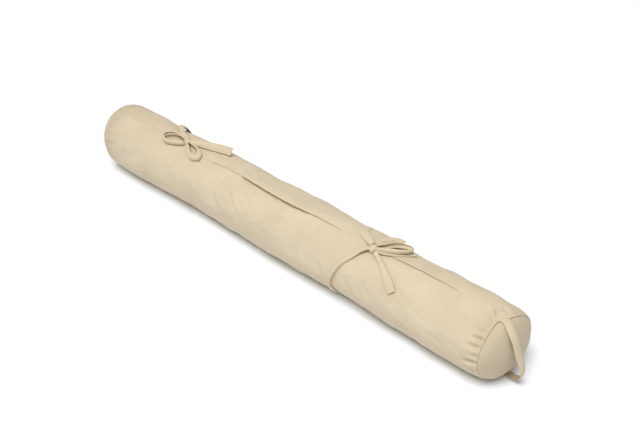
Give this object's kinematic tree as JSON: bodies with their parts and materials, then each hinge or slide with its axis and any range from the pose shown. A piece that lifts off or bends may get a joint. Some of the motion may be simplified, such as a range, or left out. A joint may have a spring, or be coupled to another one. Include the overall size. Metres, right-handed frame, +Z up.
{
  "type": "draught excluder",
  "caption": "Long filled canvas tube that lies along a door's foot, lapped along its top, with round end panels, bowed ties and a strap loop across one end.",
  "frame": {"origin": "middle of the base of the whole object's box, on the floor", "axes": "+X along the tube toward the end with the strap loop, -Y toward the side the right bow's front tail hangs on, +Z up"},
  "size_m": [0.9144, 0.1204, 0.1275],
  "materials": {
    "canvas": "plain-woven beige cotton canvas, matt, softly creased",
    "tie_cloth": "the same beige cotton folded into a stitched strip, matt"
  },
  "bodies": {
    "root": {"cover": "canvas", "end_panel_left": "canvas", "end_panel_right": "canvas", "end_loop": "tie_cloth", "right_tie_wrap": "tie_cloth", "right_bow_knot": "tie_cloth", "right_loop_front": "tie_cloth", "right_loop_back": "tie_cloth", "right_tail_front": "tie_cloth", "right_tail_back": "tie_cloth", "left_tie_strap": "tie_cloth", "left_bow_knot": "tie_cloth", "left_loop_side": "tie_cloth", "left_loop_front": "tie_cloth", "left_tail_long": "tie_cloth", "left_tail_short": "tie_cloth"}
  },
  "joints": []
}
